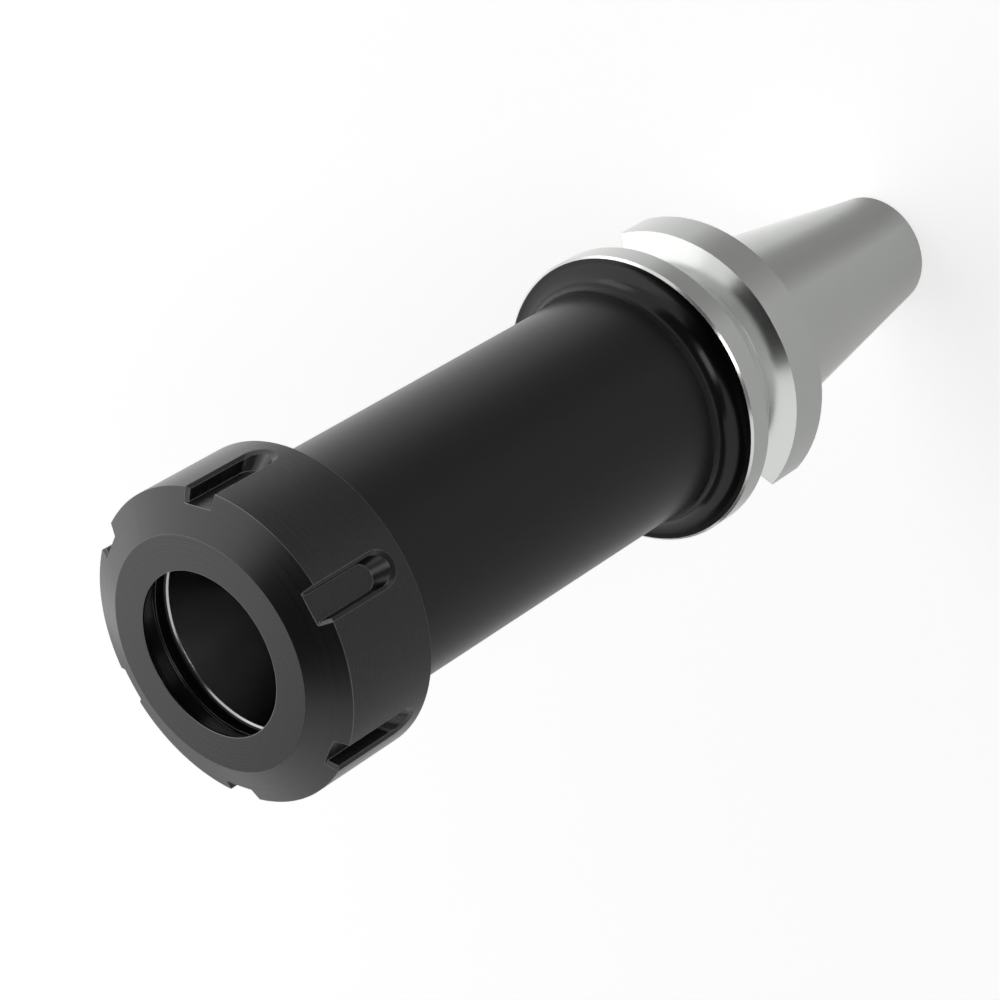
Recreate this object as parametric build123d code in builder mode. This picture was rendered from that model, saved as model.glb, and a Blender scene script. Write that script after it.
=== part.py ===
"""Collet chuck holder: a steep-taper shank with a flange, a long extension tube and a collet nut.

Millimetres, +Z from the small end of the taper towards the nose, origin at the centre of the small end face.
Radii and lengths along Z are called radius and length, and a place along Z ends in _z.
"""

import os
from math import hypot, radians, sqrt, tan

from build123d import *

# Taper shank, size 40: diameter 44.45 at the gauge line, closing by 7 in 24 to the small end
gauge_diameter = 44.45
taper_rate = 7 / 24
taper_length = 65.4
small_end_chamfer = 1.0
grinding_relief_width = 1.6
grinding_relief_depth = 0.5

# Pull stud seat in the small end: a pilot bore, then an M16 x 2 thread drawn as a plain bore at its major diameter
pilot_diameter = 17.0
pilot_depth = 7.0
pilot_chamfer = 0.8
stud_thread_diameter = 16.0
stud_thread_depth = 32.0
through_hole_diameter = 10.0

# Flange with the changer's V groove; places are measured from the gauge line towards the nose
flange_diameter = 63.0
flange_back_offset = 2.0
flange_front_offset = 27.0
flange_edge_chamfer = 0.5
groove_centre_offset = 16.6
groove_depth = 5.0
groove_root_width = 4.23
groove_angle = 60

# Two drive slots, opposite each other, open at the back of the flange and stopping short of the front rim
drive_slot_width = 16.1
drive_slot_floor = 22.6
drive_slot_length = 19.2
drive_slot_corner = 1.2

# Extension tube and threaded nose; the nut's front face is what the overall reach is measured to
reach = 152.0
tube_diameter = 50.0
tube_fillet = 5.0
nose_setback = 9.6
nose_thread_diameter = 50.0
nose_thread_pitch = 1.5
nose_thread_length = 14.6
nose_chamfer = 1.0
thread_undercut_depth = 1.4
thread_undercut_width = 2.4

# Collet socket: 8 degrees a side from its mouth, then a plain bore that clears the largest tool shank
socket_mouth_diameter = 40.0
socket_angle = 8
socket_length = 38.0
socket_mouth_chamfer = 0.6
shank_bore_diameter = 28.0
shank_bore_end_offset = 14.0
drill_point_angle = 118

# Clamping nut, as wide as the flange
nut_diameter = flange_diameter
nut_length = 25.5
nut_face_diameter = 47.2
nut_cone_slope = 3.9 / 7.9
nut_back_chamfer = 0.5
nut_mouth_diameter = 33.2
nut_mouth_land = 0.5
collet_cone_angle = 30
collet_cone_diameter = 39.2
rim_recess_diameter = 42.4
rim_recess_width = 1.6
lip_width = 1.0
lip_diameter = 40.0
lip_offset = 0.7
nut_back_bore_depth = 1.8
thread_running_clearance = 0.05
back_bore_clearance = 0.3

# Six spanner slots, run out through the front cone; their walls lean out a little and their round end is a ramp
spanner_slot_count = 6
spanner_slot_first_angle = 25
spanner_slot_depth = 2.8
spanner_slot_floor_width = 5.2
spanner_slot_floor_length = 18.7
spanner_slot_rim_width = 6.2
spanner_slot_rim_length = 21.8
spanner_slot_chamfer = 0.6

gauge_z = taper_length
flange_back_z = gauge_z + flange_back_offset
flange_front_z = gauge_z + flange_front_offset
groove_centre_z = gauge_z + groove_centre_offset
nut_front_z = gauge_z + reach
nose_z = nut_front_z - nose_setback
shank_bore_end_z = gauge_z + shank_bore_end_offset

flange_radius = flange_diameter / 2
tube_radius = tube_diameter / 2
nut_radius = nut_diameter / 2


def taper_radius(z):
    """Radius of the taper shank at a place along Z."""
    return gauge_diameter / 2 + (z - gauge_z) * taper_rate / 2


def pitch_radius(diameter, pitch):
    """Pitch radius of a 60 degree thread, halfway down its flanks."""
    return diameter / 2 - 3 * sqrt(3) / 16 * pitch


# Outline of the shank and flange, from the small end up to the flange's front face
relief_start_z = flange_back_z - grinding_relief_width
relief_radius = taper_radius(relief_start_z) - grinding_relief_depth
groove_root_radius = flange_radius - groove_depth
groove_half_root = groove_root_width / 2
groove_half_mouth = groove_half_root + groove_depth * tan(radians(groove_angle / 2))
small_end_radius = taper_radius(small_end_chamfer)

shank_outline = [
    (pilot_diameter / 2 + pilot_chamfer, 0),
    (small_end_radius - small_end_chamfer, 0),
    (small_end_radius, small_end_chamfer),
    (taper_radius(relief_start_z), relief_start_z),
    (relief_radius, relief_start_z + grinding_relief_depth),
    (relief_radius, flange_back_z),
    (flange_radius - flange_edge_chamfer, flange_back_z),
    (flange_radius, flange_back_z + flange_edge_chamfer),
    (flange_radius, groove_centre_z - groove_half_mouth),
    (groove_root_radius, groove_centre_z - groove_half_root),
    (groove_root_radius, groove_centre_z + groove_half_root),
    (flange_radius, groove_centre_z + groove_half_mouth),
    (flange_radius, flange_front_z - flange_edge_chamfer),
    (flange_radius - flange_edge_chamfer, flange_front_z),
]

# Outline of the tube and the nose, whose thread is a plain wall at the pitch radius
nose_radius = pitch_radius(nose_thread_diameter, nose_thread_pitch) - thread_running_clearance / 2
shoulder_z = nose_z - nose_thread_length
undercut_radius = nose_thread_diameter / 2 - thread_undercut_depth
undercut_end_z = shoulder_z + thread_undercut_width
tube_outline = [
    (tube_radius, flange_front_z),
    (tube_radius, shoulder_z),
    (undercut_radius, shoulder_z),
    (undercut_radius, undercut_end_z),
    (nose_radius, undercut_end_z + nose_radius - undercut_radius),
    (nose_radius, nose_z - nose_chamfer),
    (nose_radius - nose_chamfer, nose_z),
]

# Outline of the inside, from the socket's mouth down to the pull stud's seat
socket_radius = socket_mouth_diameter / 2
socket_end_radius = socket_radius - socket_length * tan(radians(socket_angle))
shank_bore_radius = shank_bore_diameter / 2
through_radius = through_hole_diameter / 2
drill_point_length = (shank_bore_radius - through_radius) / tan(radians(drill_point_angle / 2))
stud_radius = stud_thread_diameter / 2
stud_point_length = (stud_radius - through_radius) / tan(radians(drill_point_angle / 2))
inside_outline = [
    (socket_radius + socket_mouth_chamfer, nose_z),
    (socket_radius - socket_mouth_chamfer * tan(radians(socket_angle)), nose_z - socket_mouth_chamfer),
    (socket_end_radius, nose_z - socket_length),
    (shank_bore_radius, nose_z - socket_length),
    (shank_bore_radius, shank_bore_end_z),
    (through_radius, shank_bore_end_z - drill_point_length),
    (through_radius, pilot_depth + stud_thread_depth + stud_point_length),
    (stud_radius, pilot_depth + stud_thread_depth),
    (stud_radius, pilot_depth),
    (pilot_diameter / 2, pilot_depth),
    (pilot_diameter / 2, pilot_chamfer),
]

with BuildPart() as holder_body:
    with BuildSketch(Plane.XZ):
        with BuildLine():
            Polyline(*shank_outline, *tube_outline, *inside_outline, close=True)
        make_face()
        tube_root = vertices().sort_by_distance((tube_radius, flange_front_z))[0]
        fillet(tube_root, min(tube_fillet, 0.9 * (flange_radius - flange_edge_chamfer - tube_radius)))
    revolve(axis=Axis.Z)

    # Each drive slot is milled straight in from the back of the flange, with rounded corners at its floor
    for side in (-1, 1):
        with BuildSketch(Plane.XY.offset(flange_back_z)):
            with Locations((side * flange_radius, 0)):
                Rectangle(2 * (flange_radius - drive_slot_floor), drive_slot_width)
            inner_corners = vertices().sort_by_distance((0, 0))[0:2]
            fillet(inner_corners, drive_slot_corner)
        extrude(amount=drive_slot_length, mode=Mode.SUBTRACT)

holder_body.part.label = "holder_body"

# Outline of the nut; its depths are counted back from its front face
collet_cone_radius = collet_cone_diameter / 2
mouth_radius = nut_mouth_diameter / 2
nut_face_radius = nut_face_diameter / 2
nut_cone_length = (nut_radius - nut_face_radius) * nut_cone_slope
cone_depth = nut_mouth_land + (collet_cone_radius - mouth_radius) / tan(radians(collet_cone_angle))
lip_depth = cone_depth + rim_recess_width
relief_depth = lip_depth + lip_width
nut_thread_radius = nose_radius + thread_running_clearance
thread_relief_radius = nose_thread_diameter / 2 + back_bore_clearance
relief_end_depth = nose_setback + thread_undercut_width
back_bore_radius = tube_radius + back_bore_clearance
back_bore_start_depth = nut_length - nut_back_bore_depth
lip_radius = lip_diameter / 2
lip_blank_radius = lip_radius - 2 * lip_offset

nut_outline = [
    (mouth_radius, 0),
    (nut_face_radius, 0),
    (nut_radius, nut_cone_length),
    (nut_radius, nut_length - nut_back_chamfer),
    (nut_radius - nut_back_chamfer, nut_length),
    (back_bore_radius, nut_length),
    (back_bore_radius, back_bore_start_depth),
    (nut_thread_radius, back_bore_start_depth - (back_bore_radius - nut_thread_radius)),
    (nut_thread_radius, relief_end_depth),
    (thread_relief_radius, relief_end_depth),
    (thread_relief_radius, relief_depth),
    (lip_blank_radius, relief_depth),
    (lip_blank_radius, lip_depth),
    (rim_recess_diameter / 2, lip_depth),
    (rim_recess_diameter / 2, cone_depth),
    (collet_cone_radius, cone_depth),
    (mouth_radius, nut_mouth_land),
]

# One spanner slot as a cutter pointing along +X, from its floor to just outside the nut
slot_floor_radius = nut_radius - spanner_slot_depth
slot_lean = (spanner_slot_rim_width - spanner_slot_floor_width) / spanner_slot_depth
slot_ramp = (spanner_slot_rim_length - spanner_slot_floor_length) / spanner_slot_depth
cutter_height = 1.5 * spanner_slot_depth
cutter_length = 2 * spanner_slot_rim_length
with BuildPart() as spanner_slot:
    for height in (0, cutter_height):
        slot_end_z = nut_front_z - spanner_slot_floor_length - slot_ramp * height
        centre = (slot_floor_radius + height, 0, slot_end_z + cutter_length / 2)
        with BuildSketch(Plane(centre, x_dir=(0, 0, 1), z_dir=(1, 0, 0))):
            SlotOverall(cutter_length, spanner_slot_floor_width + slot_lean * height)
    loft(ruled=True)

with BuildPart() as clamping_nut:
    with BuildSketch(Plane.XZ):
        with BuildLine():
            Polyline(*[(r, nut_front_z - depth) for r, depth in nut_outline], close=True)
        make_face()
    revolve(axis=Axis.Z)

    # The extraction lip is bored off centre, so that it stands proud on one side only
    with BuildSketch(Plane.XY.offset(nut_front_z - relief_depth)):
        with Locations((0, lip_offset)):
            Circle(lip_radius)
    extrude(amount=lip_width, mode=Mode.SUBTRACT)

    with PolarLocations(0, spanner_slot_count, start_angle=spanner_slot_first_angle):
        add(spanner_slot.part, mode=Mode.SUBTRACT)

    # The slots' rims are chamfered where they break through the outside and the front cone, above their floors
    outside = faces().filter_by(GeomType.CYLINDER).sort_by(SortBy.AREA)[-1]
    front_cone = faces().filter_by(GeomType.CONE).sort_by(Axis.Z)[-1]
    rims = [
        edge
        for face in (outside, front_cone)
        for edge in face.edges()
        if edge.geom_type != GeomType.CIRCLE
        and abs(edge.center().Y) > spanner_slot_chamfer / 2
        and hypot(edge.center().X, edge.center().Y) > slot_floor_radius + spanner_slot_chamfer
    ]
    chamfer(rims, spanner_slot_chamfer)

clamping_nut.part.label = "clamping_nut"

os.makedirs("parts", exist_ok=True)
export_step(holder_body.part, "parts/holder_body.step")
export_step(clamping_nut.part, "parts/clamping_nut.step")
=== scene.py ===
"""Looks of a collet chuck holder: finishes, pull stud thread, studio and camera.

Places and sizes are in metres, as Blender works, and the name of a size in millimetres ends in _mm. +Z runs from
the small end of the taper towards the nose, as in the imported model.
"""

import logging
from dataclasses import dataclass, field
from enum import Enum
from math import cos, pi, radians, sin
from typing import Any

import bmesh
import bpy
from mathutils import Matrix, Vector


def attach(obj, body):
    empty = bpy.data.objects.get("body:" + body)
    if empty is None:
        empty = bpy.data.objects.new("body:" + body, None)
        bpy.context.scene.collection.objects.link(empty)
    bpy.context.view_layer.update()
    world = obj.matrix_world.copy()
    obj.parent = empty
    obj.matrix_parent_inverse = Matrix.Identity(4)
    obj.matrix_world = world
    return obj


MM = 0.001

Triple = tuple[float, float, float]
Colour = tuple[float, float, float, float]

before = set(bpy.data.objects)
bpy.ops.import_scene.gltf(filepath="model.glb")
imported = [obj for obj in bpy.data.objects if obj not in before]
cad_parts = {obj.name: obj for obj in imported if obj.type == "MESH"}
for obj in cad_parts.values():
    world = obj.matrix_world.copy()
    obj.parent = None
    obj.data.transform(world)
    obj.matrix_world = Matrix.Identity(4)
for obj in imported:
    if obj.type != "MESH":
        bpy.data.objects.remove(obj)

log = logging.getLogger("collet_chuck")


class Body(Enum):
    """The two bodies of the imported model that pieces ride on."""

    HOLDER = "holder"
    NUT = "nut"


class Slot(Enum):
    """The record's material slots."""

    STEEL = "holder_steel"
    BLACK = "nut_black_oxide"


def linear(hex_colour: str) -> Colour:
    """Turns an sRGB hex colour into a linear one.

    Args:
        hex_colour: Colour as six hex digits with a leading #.

    Returns:
        Linear red, green, blue and an alpha of 1.
    """
    channels = [int(hex_colour[i:i + 2], 16) / 255 for i in (1, 3, 5)]
    red, green, blue = [c / 12.92 if c <= 0.04045 else ((c + 0.055) / 1.055) ** 2.4 for c in channels]
    return (red, green, blue, 1.0)


WHITE = linear("#ffffff")
BLACK = linear("#000000")


def add_node(tree: bpy.types.NodeTree, kind: str, settings: dict[str, Any] | None = None,
             inputs: dict[str | int, Any] | None = None) -> bpy.types.Node:
    """Adds a node to a tree with its settings, values and links.

    Args:
        tree: Node tree that gets the node.
        kind: Type name of the node.
        settings: Properties of the node by name.
        inputs: Values, or output sockets to link from, by input name or index.

    Returns:
        The new node.
    """
    node = tree.nodes.new(kind)
    for name, value in (settings or {}).items():
        setattr(node, name, value)
    for key, value in (inputs or {}).items():
        if isinstance(value, bpy.types.NodeSocket):
            tree.links.new(value, node.inputs[key])
        else:
            node.inputs[key].default_value = value
    return node


def new_material(name: str) -> tuple[bpy.types.Material, bpy.types.NodeTree]:
    """Makes an empty node material.

    Args:
        name: Name of the finish.

    Returns:
        The material and its cleared node tree.
    """
    material = bpy.data.materials.new(name)
    material.use_nodes = True
    material.node_tree.nodes.clear()
    return material, material.node_tree


def dress(piece: bpy.types.Object, material: bpy.types.Material) -> None:
    """Gives a piece one material in its first slot.

    Args:
        piece: Piece of the holder, or of the studio.
        material: Its finish.
    """
    if piece.data.materials:
        piece.data.materials[0] = material
    else:
        piece.data.materials.append(material)


def add_object(name: str, mesh: bmesh.types.BMesh) -> bpy.types.Object:
    """Puts a finished mesh into the scene.

    Args:
        name: Name of the object and of its mesh.
        mesh: Mesh in the making, which is freed.

    Returns:
        The new object, with no material yet.
    """
    data = bpy.data.meshes.new(name)
    mesh.to_mesh(data)
    mesh.free()
    made = bpy.data.objects.new(name, data)
    bpy.context.scene.collection.objects.link(made)
    return made


@dataclass(frozen=True)
class TurnedPlace:
    """Where a point lies on a turned piece, with the patterns that follow from it."""

    height: bpy.types.NodeSocket
    radius: bpy.types.NodeSocket
    point: bpy.types.NodeSocket

    @classmethod
    def on(cls, tree: bpy.types.NodeTree) -> "TurnedPlace":
        """Adds the nodes that give a point's height and its distance from the axis.

        Args:
            tree: Node tree of the finish.

        Returns:
            The sockets to build on.
        """
        place = add_node(tree, "ShaderNodeTexCoord")
        axes = add_node(tree, "ShaderNodeSeparateXYZ", inputs={"Vector": place.outputs["Object"]})
        flat = add_node(tree, "ShaderNodeCombineXYZ", inputs={"X": axes.outputs["X"], "Y": axes.outputs["Y"]})
        radius = add_node(tree, "ShaderNodeVectorMath", {"operation": "LENGTH"}, {0: flat.outputs["Vector"]})
        return cls(axes.outputs["Z"], radius.outputs["Value"], place.outputs["Object"])

    def tool_lines(self, tree: bpy.types.NodeTree, pitch_mm: float) -> bpy.types.NodeSocket:
        """Adds the rings that a tool or wheel leaves round the axis, on walls and on flat faces alike.

        Args:
            tree: Node tree of the finish.
            pitch_mm: Mean distance between two rings.

        Returns:
            A value from 0 to 1 that changes from ring to ring.
        """
        along = add_node(tree, "ShaderNodeMath", {"operation": "ADD"}, {0: self.height, 1: self.radius})
        rings = add_node(tree, "ShaderNodeTexNoise", {"noise_dimensions": "1D"}, {
            "W": along.outputs["Value"], "Scale": 1 / (pitch_mm * MM), "Detail": 2.0})
        return rings.outputs["Fac"]

    def mottle(self, tree: bpy.types.NodeTree, size_mm: float) -> bpy.types.NodeSocket:
        """Adds soft uneven patches of a given size.

        Args:
            tree: Node tree of the finish.
            size_mm: Size of a patch.

        Returns:
            A value from 0 to 1.
        """
        patches = add_node(tree, "ShaderNodeTexNoise", {"noise_dimensions": "3D"}, {
            "Vector": self.point, "Scale": 1 / (size_mm * MM), "Detail": 5.0})
        return patches.outputs["Fac"]


@dataclass(frozen=True)
class RubbedEdges:
    """The narrow, ragged strip along a sharp edge where handling has rubbed the black away.

    A bend here is one less the cosine between the true and the rounded normal. It is 0 on an open face and grows
    towards an edge. The strip starts at the first bend where the grain makes it widest, at the last bend where
    the grain makes it narrowest, and is rubbed bare from the full bend on. The grain is noise that lies mostly
    between its low and high values.
    """

    width_mm: float = 0.24
    grain_mm: float = 0.5
    first_bend: float = 0.001
    last_bend: float = 0.02
    full_bend: float = 0.03
    grain_low: float = 0.35
    grain_high: float = 0.65

    def mask(self, tree: bpy.types.NodeTree, place: TurnedPlace) -> bpy.types.NodeSocket:
        """Adds a mask that is 1 along sharp edges, a little ragged, and 0 on open faces.

        Args:
            tree: Node tree of the finish.
            place: Where a point lies on the piece.

        Returns:
            The mask.
        """
        true_normal = add_node(tree, "ShaderNodeNewGeometry").outputs["Normal"]
        rounded = add_node(tree, "ShaderNodeBevel", {"samples": 8}, {"Radius": self.width_mm * MM})
        likeness = add_node(tree, "ShaderNodeVectorMath", {"operation": "DOT_PRODUCT"}, {
            0: true_normal, 1: rounded.outputs["Normal"]})
        bend = add_node(tree, "ShaderNodeMath", {"operation": "SUBTRACT"}, {0: 1.0, 1: likeness.outputs["Value"]})
        start = add_node(tree, "ShaderNodeMapRange", inputs={
            "Value": place.mottle(tree, self.grain_mm), "From Min": self.grain_low, "From Max": self.grain_high,
            "To Min": self.first_bend, "To Max": self.last_bend})
        mask = add_node(tree, "ShaderNodeMapRange", inputs={
            "Value": bend.outputs["Value"], "From Min": start.outputs["Result"], "From Max": self.full_bend})
        return mask.outputs["Result"]


@dataclass(frozen=True)
class BlackOxideSteel:
    """Turned steel blackened in a hot oxide bath and oiled.

    It is near black with a satin sheen, a little uneven from the bath, and rubbed grey at its edges.
    """

    name: str = "black_oxide_on_turned_steel"
    colour: str = "#090909"
    dull_colour: str = "#111112"
    rubbed_colour: str = "#77777a"
    roughness: float = 0.28
    roughness_spread: float = 0.025
    sheen: float = 0.6
    turning_pitch_mm: float = 0.5
    bath_mottle_mm: float = 5.0
    edges: RubbedEdges = RubbedEdges()

    def build(self) -> bpy.types.Material:
        """Builds the material.

        Returns:
            The finished material.
        """
        material, tree = new_material(self.name)
        place = TurnedPlace.on(tree)
        rubbed = self.edges.mask(tree, place)
        bath = add_node(tree, "ShaderNodeMix", {"data_type": "RGBA"}, {
            "Factor": place.mottle(tree, self.bath_mottle_mm), "A": linear(self.colour),
            "B": linear(self.dull_colour)})
        tone = add_node(tree, "ShaderNodeMix", {"data_type": "RGBA"}, {
            "Factor": rubbed, "A": bath.outputs["Result"], "B": linear(self.rubbed_colour)})
        # The real turning lines are 0.1 mm apart, too fine to show, so they are drawn five times coarser
        rough = add_node(tree, "ShaderNodeMapRange", inputs={
            "Value": place.tool_lines(tree, self.turning_pitch_mm),
            "To Min": self.roughness - self.roughness_spread, "To Max": self.roughness + self.roughness_spread})
        edge = add_node(tree, "ShaderNodeBevel", {"samples": 6}, {"Radius": self.edges.width_mm * MM})
        shader = add_node(tree, "ShaderNodeBsdfPrincipled", inputs={
            "Base Color": tone.outputs["Result"], "Roughness": rough.outputs["Result"], "Metallic": rubbed,
            "Specular IOR Level": self.sheen, "Normal": edge.outputs["Normal"]})
        add_node(tree, "ShaderNodeOutputMaterial", inputs={"Surface": shader.outputs["BSDF"]})
        return material


@dataclass(frozen=True)
class HolderSteel:
    """One hardened steel body with two finishes, ground bright and blackened.

    The shank, the flange's rim and the socket are ground and mirror softly. The tube is a dull black, and the
    flange's front face and the fillet above it are a smoother black, coloured a deeper black as painted shade for
    the corner between flange and tube.
    """

    black_from_mm: float
    tube_from_mm: float
    socket_radius_mm: float
    name: str = "hardened_steel_ground_and_blackened"
    bright_colour: str = "#d1d3d0"
    socket_colour: str = "#b3b3b3"
    tube_colour: str = "#1a1a1b"
    # Painted shade: the flange's front face and the fillet are coloured darker than the tube for the shade in the
    # corner between them
    fillet_painted_shade_colour: str = "#040405"
    ground_roughness: float = 0.19
    ground_roughness_spread: float = 0.025
    tube_roughness: float = 0.31
    fillet_roughness: float = 0.2
    black_sheen: float = 0.32
    grinding_pitch_mm: float = 0.35
    edge_width_mm: float = 0.16
    finish_and_painted_shade_change_mm: float = 1.0

    def build(self) -> bpy.types.Material:
        """Builds the material, with the change of finish at the flange's front edge and the socket's mouth.

        Returns:
            The finished material.
        """
        material, tree = new_material(self.name)
        place = TurnedPlace.on(tree)
        above = add_node(tree, "ShaderNodeMath", {"operation": "GREATER_THAN"}, {
            0: place.height, 1: self.black_from_mm * MM})
        outside = add_node(tree, "ShaderNodeMath", {"operation": "GREATER_THAN"}, {
            0: place.radius, 1: self.socket_radius_mm * MM})
        black = add_node(tree, "ShaderNodeMath", {"operation": "MULTIPLY"}, {
            0: above.outputs["Value"], 1: outside.outputs["Value"]})
        metal = add_node(tree, "ShaderNodeMath", {"operation": "SUBTRACT"}, {0: 1.0, 1: black.outputs["Value"]})
        # The socket is ground too, and looks a darker grey than the shank
        steel = add_node(tree, "ShaderNodeMix", {"data_type": "RGBA"}, {
            "Factor": above.outputs["Value"], "A": linear(self.bright_colour), "B": linear(self.socket_colour)})
        # The painted shade on the flange's face and fillet gives way to the tube's greyer black over the last of
        # the fillet, up to the tube, where the finish also turns duller
        on_tube = add_node(tree, "ShaderNodeMapRange", inputs={
            "Value": place.height, "From Min": (self.tube_from_mm - self.finish_and_painted_shade_change_mm) * MM,
            "From Max": self.tube_from_mm * MM})
        oxide = add_node(tree, "ShaderNodeMix", {"data_type": "RGBA"}, {
            "Factor": on_tube.outputs["Result"], "A": linear(self.fillet_painted_shade_colour), "B": linear(self.tube_colour)})
        tone = add_node(tree, "ShaderNodeMix", {"data_type": "RGBA"}, {
            "Factor": black.outputs["Value"], "A": steel.outputs["Result"], "B": oxide.outputs["Result"]})
        # The real grinding lines are hundredths of a millimetre apart, too fine to show, so they are drawn coarser
        ground = add_node(tree, "ShaderNodeMapRange", inputs={
            "Value": place.tool_lines(tree, self.grinding_pitch_mm),
            "To Min": self.ground_roughness - self.ground_roughness_spread,
            "To Max": self.ground_roughness + self.ground_roughness_spread})
        satin = add_node(tree, "ShaderNodeMix", {"data_type": "FLOAT"}, {
            "Factor": on_tube.outputs["Result"], "A": self.fillet_roughness, "B": self.tube_roughness})
        rough = add_node(tree, "ShaderNodeMix", {"data_type": "FLOAT"}, {
            "Factor": black.outputs["Value"], "A": ground.outputs["Result"], "B": satin.outputs["Result"]})
        edge = add_node(tree, "ShaderNodeBevel", {"samples": 6}, {"Radius": self.edge_width_mm * MM})
        shader = add_node(tree, "ShaderNodeBsdfPrincipled", inputs={
            "Base Color": tone.outputs["Result"], "Roughness": rough.outputs["Result"],
            "Metallic": metal.outputs["Value"], "Specular IOR Level": self.black_sheen,
            "Normal": edge.outputs["Normal"]})
        add_node(tree, "ShaderNodeOutputMaterial", inputs={"Surface": shader.outputs["BSDF"]})
        return material


@dataclass(frozen=True)
class CutThreadSteel:
    """Tapped steel: a mid grey with uneven sheen, where the tap has dragged along the flanks."""

    name: str = "tapped_steel"
    colour: str = "#8f908b"
    roughness: float = 0.32
    roughness_spread: float = 0.05
    drag_mm: float = 0.4

    def build(self) -> bpy.types.Material:
        """Builds the material.

        Returns:
            The finished material.
        """
        material, tree = new_material(self.name)
        place = add_node(tree, "ShaderNodeTexCoord")
        # The real drag marks are finer than the render shows, so they are drawn as coarse as this
        drag = add_node(tree, "ShaderNodeTexNoise", {"noise_dimensions": "3D"}, {
            "Vector": place.outputs["Object"], "Scale": 1 / (self.drag_mm * MM), "Detail": 3.0})
        rough = add_node(tree, "ShaderNodeMapRange", inputs={
            "Value": drag.outputs["Fac"], "To Min": self.roughness - self.roughness_spread,
            "To Max": self.roughness + self.roughness_spread})
        shader = add_node(tree, "ShaderNodeBsdfPrincipled", inputs={
            "Base Color": linear(self.colour), "Roughness": rough.outputs["Result"], "Metallic": 1.0})
        add_node(tree, "ShaderNodeOutputMaterial", inputs={"Surface": shader.outputs["BSDF"]})
        return material


@dataclass
class PullStudThread:
    """The M16 x 2 thread inside the small end, as one helical ridge standing in from the bore's wall."""

    major_radius_mm: float = 8.0
    minor_radius_mm: float = 6.92
    pitch_mm: float = 2.0
    start_mm: float = 8.2
    end_mm: float = 38.0
    crest_width_mm: float = 0.5
    root_width_mm: float = 1.75
    sunk_mm: float = 0.05
    steps_per_turn: int = 48
    run_out_turns: float = 0.25
    least_depth_share: float = 0.02

    def build(self) -> bpy.types.Object:
        """Builds the ridge as one closed mesh.

        Returns:
            The thread, riding on the holder.
        """
        mesh = bmesh.new()
        rings = self.helix(mesh)
        for before, after in zip(rings, rings[1:]):
            for i in range(len(before)):
                j = (i + 1) % len(before)
                mesh.faces.new((before[i], before[j], after[j], after[i]))
        mesh.faces.new(rings[0][::-1])
        mesh.faces.new(rings[-1])
        bmesh.ops.recalc_face_normals(mesh, faces=mesh.faces)
        thread = add_object("pull_stud_thread", mesh)
        dress(thread, CutThreadSteel().build())
        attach(thread, Body.HOLDER.value)
        return thread

    def helix(self, mesh: bmesh.types.BMesh) -> list[list[bmesh.types.BMVert]]:
        """Adds the points of the ridge's profile at each step along the helix.

        Args:
            mesh: Mesh that gets the points.

        Returns:
            The points of each step, in order round the profile.
        """
        turns = (self.end_mm - self.start_mm) / self.pitch_mm
        steps = round(turns * self.steps_per_turn)
        wall = self.major_radius_mm + self.sunk_mm
        profile = [(wall, -self.root_width_mm / 2), (self.minor_radius_mm, -self.crest_width_mm / 2),
                   (self.minor_radius_mm, self.crest_width_mm / 2), (wall, self.root_width_mm / 2)]
        rings = []
        for step in range(steps + 1):
            angle = 2 * pi * step / self.steps_per_turn
            height = self.start_mm + self.pitch_mm * step / self.steps_per_turn
            # The ridge runs out into the wall at each end, with a trace of depth left so that no face vanishes
            share = min(1.0, min(step, steps - step) / (self.run_out_turns * self.steps_per_turn))
            share = max(share, self.least_depth_share)
            ring = []
            for radius, rise in profile:
                reach = wall - (wall - radius) * share
                ring.append(mesh.verts.new((
                    reach * cos(angle) * MM, reach * sin(angle) * MM, (height + rise) * MM)))
            rings.append(ring)
        return rings


@dataclass
class HolderBody:
    """The ground shank and flange with the blackened tube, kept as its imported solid."""

    node_name: str = "holder_body"
    body: Body = Body.HOLDER
    slot: Slot = Slot.STEEL
    flange_front_mm: float = 92.4
    front_face_margin_mm: float = 0.02
    fillet_radius_mm: float = 5.0
    socket_edge_radius_mm: float = 20.25
    thread: PullStudThread = field(default_factory=PullStudThread)

    def build(self) -> list[bpy.types.Object]:
        """Dresses the solid and adds the pull stud's thread.

        Returns:
            The pieces of the holder.
        """
        shank_and_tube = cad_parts[self.node_name]
        # The black starts a hair below the flange's front face, so that the whole face is black
        finish = HolderSteel(black_from_mm=self.flange_front_mm - self.front_face_margin_mm,
                             tube_from_mm=self.flange_front_mm + self.fillet_radius_mm,
                             socket_radius_mm=self.socket_edge_radius_mm)
        dress(shank_and_tube, finish.build())
        return [shank_and_tube, self.thread.build()]


@dataclass
class ClampingNut:
    """The slotted nut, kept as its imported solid."""

    node_name: str = "clamping_nut"
    body: Body = Body.NUT
    slot: Slot = Slot.BLACK
    finish: BlackOxideSteel = BlackOxideSteel()

    def build(self) -> list[bpy.types.Object]:
        """Dresses the solid.

        Returns:
            The nut alone.
        """
        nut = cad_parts[self.node_name]
        dress(nut, self.finish.build())
        return [nut]


def level_sheet(name: str, place: Triple, half_size: tuple[float, float]) -> bpy.types.Object:
    """Builds a level rectangular sheet that belongs to the studio.

    Args:
        name: Name of the sheet.
        place: Its middle.
        half_size: Half its width along X and along Y.

    Returns:
        The sheet, with no material yet.
    """
    mesh = bmesh.new()
    corners = [(-1, -1), (1, -1), (1, 1), (-1, 1)]
    mesh.faces.new([mesh.verts.new((x * half_size[0], y * half_size[1], 0.0)) for x, y in corners])
    sheet = add_object(name, mesh)
    sheet.location = place
    return sheet


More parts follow.
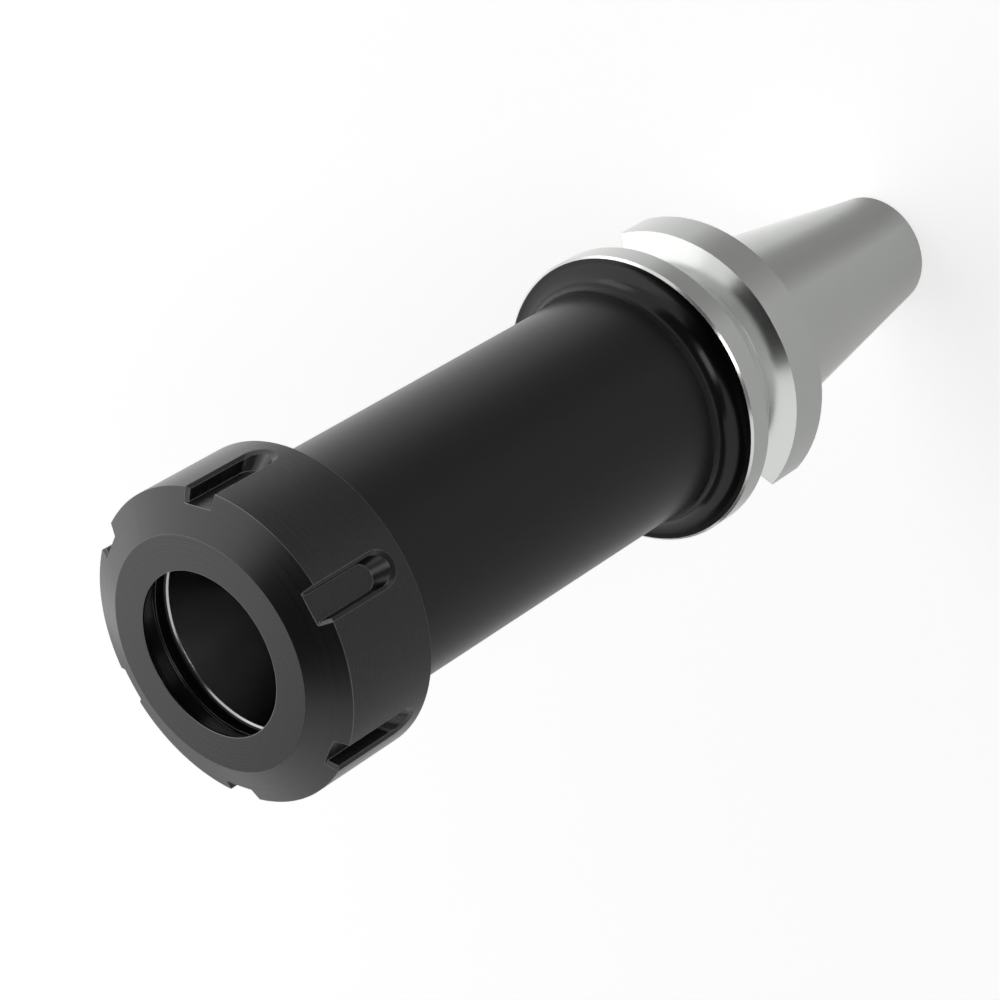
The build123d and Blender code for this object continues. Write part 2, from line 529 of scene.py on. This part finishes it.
def seen_rays(tree: bpy.types.NodeTree) -> bpy.types.NodeSocket:
    """Adds the nodes that tell the rays which show a surface from those by which it lights others.

    Args:
        tree: Node tree of the floor or of the world.

    Returns:
        A value of 1 for camera, glossy and transmission rays, and 0 for the rest.
    """
    ray = add_node(tree, "ShaderNodeLightPath")
    found = ray.outputs["Is Camera Ray"]
    for kind in ("Is Glossy Ray", "Is Transmission Ray"):
        either = add_node(tree, "ShaderNodeMath", {"operation": "MAXIMUM"}, {0: found, 1: ray.outputs[kind]})
        found = either.outputs["Value"]
    return found


@dataclass(frozen=True)
class MattBoard:
    """Matt white painted board: pale, with no gloss and a soft shadow on it.

    The lamps light it less far from the holder, so it glows more there, up to the white of the world.
    """

    name: str = "matt_white_board"
    colour: str = "#f2f2f2"
    roughness: float = 0.9
    near_glow: float = 0.54
    far_glow: float = 0.78
    sweep_from_m: float = 0.05
    sweep_to_m: float = 1.5

    def build(self) -> bpy.types.Material:
        """Builds the material.

        Returns:
            The finished material.
        """
        material, tree = new_material(self.name)
        place = add_node(tree, "ShaderNodeTexCoord")
        away = add_node(tree, "ShaderNodeVectorMath", {"operation": "LENGTH"}, {0: place.outputs["Object"]})
        sweep = add_node(tree, "ShaderNodeMapRange", inputs={
            "Value": away.outputs["Value"], "From Min": self.sweep_from_m, "From Max": self.sweep_to_m,
            "To Min": self.near_glow, "To Max": self.far_glow})
        glow = add_node(tree, "ShaderNodeMath", {"operation": "MULTIPLY"}, {
            0: seen_rays(tree), 1: sweep.outputs["Result"]})
        shader = add_node(tree, "ShaderNodeBsdfPrincipled", inputs={
            "Base Color": linear(self.colour), "Roughness": self.roughness, "Specular IOR Level": 0.0,
            "Emission Color": WHITE, "Emission Strength": glow.outputs["Value"]})
        add_node(tree, "ShaderNodeOutputMaterial", inputs={"Surface": shader.outputs["BSDF"]})
        return material


class Grading(Enum):
    """How a black card's darkness changes round its middle, by the cosine of the turn away from its own +Y.

    Each holds the cosines where the change starts and ends, and the shares of the card's darkness there.
    """

    EVEN = ()
    CLEAR_AHEAD = (0.0, 0.9, 1.0, 0.0)
    DARK_AHEAD = (0.82, 0.99, 0.0, 1.0)


@dataclass(frozen=True)
class BlackCard:
    """A black card that only reflections see, as a photographer holds one just out of the picture."""

    name: str
    place: Triple
    half_size: tuple[float, float]
    darkness: float
    grading: Grading = Grading.EVEN
    rotation_deg: Triple = (0.0, 0.0, 0.0)

    def build(self) -> bpy.types.Object:
        """Builds the card, turned by its rotation, with its material.

        Returns:
            The card, which isn't part of the object.
        """
        card = level_sheet(self.name, self.place, self.half_size)
        card.rotation_euler = [radians(angle) for angle in self.rotation_deg]
        dress(card, self.material())
        card.visible_camera = False
        card.visible_diffuse = False
        card.visible_transmission = False
        card.visible_shadow = False
        return card

    def material(self) -> bpy.types.Material:
        """Builds the card's black, as see-through as its darkness and grading say.

        Returns:
            The finished material.
        """
        material, tree = new_material(self.name)
        cover = self.darkness
        if self.grading is not Grading.EVEN:
            start, end, share_at_start, share_at_end = self.grading.value
            place = add_node(tree, "ShaderNodeTexCoord")
            direction = add_node(tree, "ShaderNodeVectorMath", {"operation": "NORMALIZE"}, {
                0: place.outputs["Object"]})
            axes = add_node(tree, "ShaderNodeSeparateXYZ", inputs={"Vector": direction.outputs["Vector"]})
            cover = add_node(tree, "ShaderNodeMapRange", inputs={
                "Value": axes.outputs["Y"], "From Min": start, "From Max": end,
                "To Min": share_at_start * self.darkness,
                "To Max": share_at_end * self.darkness}).outputs["Result"]
        black = add_node(tree, "ShaderNodeBsdfDiffuse", inputs={"Color": BLACK})
        clear = add_node(tree, "ShaderNodeBsdfTransparent")
        shader = add_node(tree, "ShaderNodeMixShader", inputs={
            0: cover, 1: clear.outputs["BSDF"], 2: black.outputs["BSDF"]})
        add_node(tree, "ShaderNodeOutputMaterial", inputs={"Surface": shader.outputs["Shader"]})
        return material


@dataclass(frozen=True)
class Softbox:
    """A soft lamp with a flat rectangular face, aimed at the middle of the holder."""

    name: str
    place: Triple
    size: tuple[float, float]
    brightness: float
    aim: Triple = (0.0, 0.0, 0.12)

    def build(self) -> bpy.types.Object:
        """Hangs the lamp, which stays as bright to look at when its face gets another size.

        Returns:
            The lamp.
        """
        light = bpy.data.lights.new(self.name, "AREA")
        light.shape = "RECTANGLE"
        light.size, light.size_y = self.size
        light.energy = self.brightness * pi * self.size[0] * self.size[1]
        lamp = bpy.data.objects.new(self.name, light)
        lamp.location = self.place
        lamp.rotation_euler = (Vector(self.aim) - Vector(self.place)).to_track_quat("-Z", "Y").to_euler()
        bpy.context.scene.collection.objects.link(lamp)
        return lamp


@dataclass(frozen=True)
class Viewpoint:
    """Where the photograph was taken from, how the camera was rolled, and its lens."""

    place: Triple = (0.0, -0.4735, 0.5665)
    aim: Triple = (-0.0037, 0.0, 0.1372)
    roll_deg: float = -121.52
    lens_mm: float = 116.88
    sensor_mm: float = 36.0
    nearest_m: float = 0.01

    def build(self) -> bpy.types.Object:
        """Places the camera and makes it the scene's.

        Returns:
            The camera.
        """
        data = bpy.data.cameras.new("camera")
        data.sensor_width = self.sensor_mm
        data.lens = self.lens_mm
        data.clip_start = self.nearest_m
        camera = bpy.data.objects.new("camera", data)
        place = Vector(self.place)
        turn = (Vector(self.aim) - place).to_track_quat("-Z", "Y").to_matrix()
        roll = Matrix.Rotation(radians(self.roll_deg), 3, "Z")
        camera.matrix_world = Matrix.Translation(place) @ (turn @ roll).to_4x4()
        bpy.context.scene.collection.objects.link(camera)
        bpy.context.scene.camera = camera
        return camera


@dataclass
class Studio:
    """Plain pale floor, soft lamps, white surroundings and the camera at the photograph's angle.

    The three floor cards lie less than a millimetre above the floor, each at a height of its own.
    """

    floor_half_side_m: float = 4.0
    floor_finish: MattBoard = MattBoard()
    world_light: float = 0.25
    softboxes: tuple[Softbox, ...] = (
        Softbox("key_softbox", place=(0.66, 0.73, 0.97), size=(1.7, 1.5), brightness=0.65),
        Softbox("side_softbox", place=(1.1, 0.05, 0.55), size=(0.5, 0.4), brightness=1.5),
        Softbox("front_softbox", place=(-0.13, -0.85, 0.74), size=(0.4, 0.4), brightness=3.0))
    cards: tuple[BlackCard, ...] = (
        BlackCard("near_floor_card", place=(0.0, 0.0, 0.0005), half_size=(0.45, 0.45), darkness=0.47,
                  grading=Grading.CLEAR_AHEAD, rotation_deg=(0.0, 0.0, -30.0)),
        BlackCard("sector_floor_card", place=(0.0, 0.0, 0.0009), half_size=(0.35, 0.35), darkness=0.36,
                  grading=Grading.DARK_AHEAD, rotation_deg=(0.0, 0.0, -138.0)),
        BlackCard("far_floor_card", place=(-0.7, 1.6, 0.0006), half_size=(0.8, 1.3), darkness=0.62),
        BlackCard("overhead_card", place=(-0.12, 0.05, 1.2), half_size=(0.4, 1.2), darkness=0.97,
                  rotation_deg=(0.0, 0.0, 14.0)),
        BlackCard("front_card", place=(-0.1, -1.1, 0.8), half_size=(1.4, 0.78), darkness=0.85,
                  rotation_deg=(90.0, 0.0, 0.0)),
        BlackCard("left_card", place=(-1.1, -0.1, 0.25), half_size=(0.9, 0.24), darkness=0.85,
                  rotation_deg=(90.0, 0.0, 90.0)))
    viewpoint: Viewpoint = Viewpoint()

    def floor(self) -> bpy.types.Object:
        """Builds the floor the holder stands on.

        Returns:
            The floor, which isn't part of the object.
        """
        floor = level_sheet("floor", (0.0, 0.0, 0.0), (self.floor_half_side_m, self.floor_half_side_m))
        dress(floor, self.floor_finish.build())
        return floor

    def surroundings(self) -> None:
        """Surrounds the scene with white that is seen at full strength and lights the object less."""
        world = bpy.data.worlds.new("white_surroundings")
        bpy.context.scene.world = world
        world.use_nodes = True
        tree = world.node_tree
        tree.nodes.clear()
        # A strength of 1 is white
        strength = add_node(tree, "ShaderNodeMapRange", inputs={
            "Value": seen_rays(tree), "To Min": self.world_light, "To Max": 1.0})
        background = add_node(tree, "ShaderNodeBackground", inputs={
            "Color": WHITE, "Strength": strength.outputs["Result"]})
        add_node(tree, "ShaderNodeOutputWorld", inputs={"Surface": background.outputs["Background"]})

    def build(self) -> None:
        """Builds the floor, surroundings, lamps, cards and camera."""
        self.floor()
        self.surroundings()
        for item in (*self.softboxes, *self.cards, self.viewpoint):
            item.build()


def main() -> None:
    logging.basicConfig(level=logging.INFO, format="%(message)s")
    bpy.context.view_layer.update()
    bpy.context.scene.view_settings.view_transform = "Standard"
    for assembly in (HolderBody(), ClampingNut()):
        for piece in assembly.build():
            log.info("%s: rides on %s, finish slot %s, %d faces", piece.name, assembly.body.value,
                     assembly.slot.value, len(piece.data.polygons))
    Studio().build()


if __name__ == "__main__":
    main()
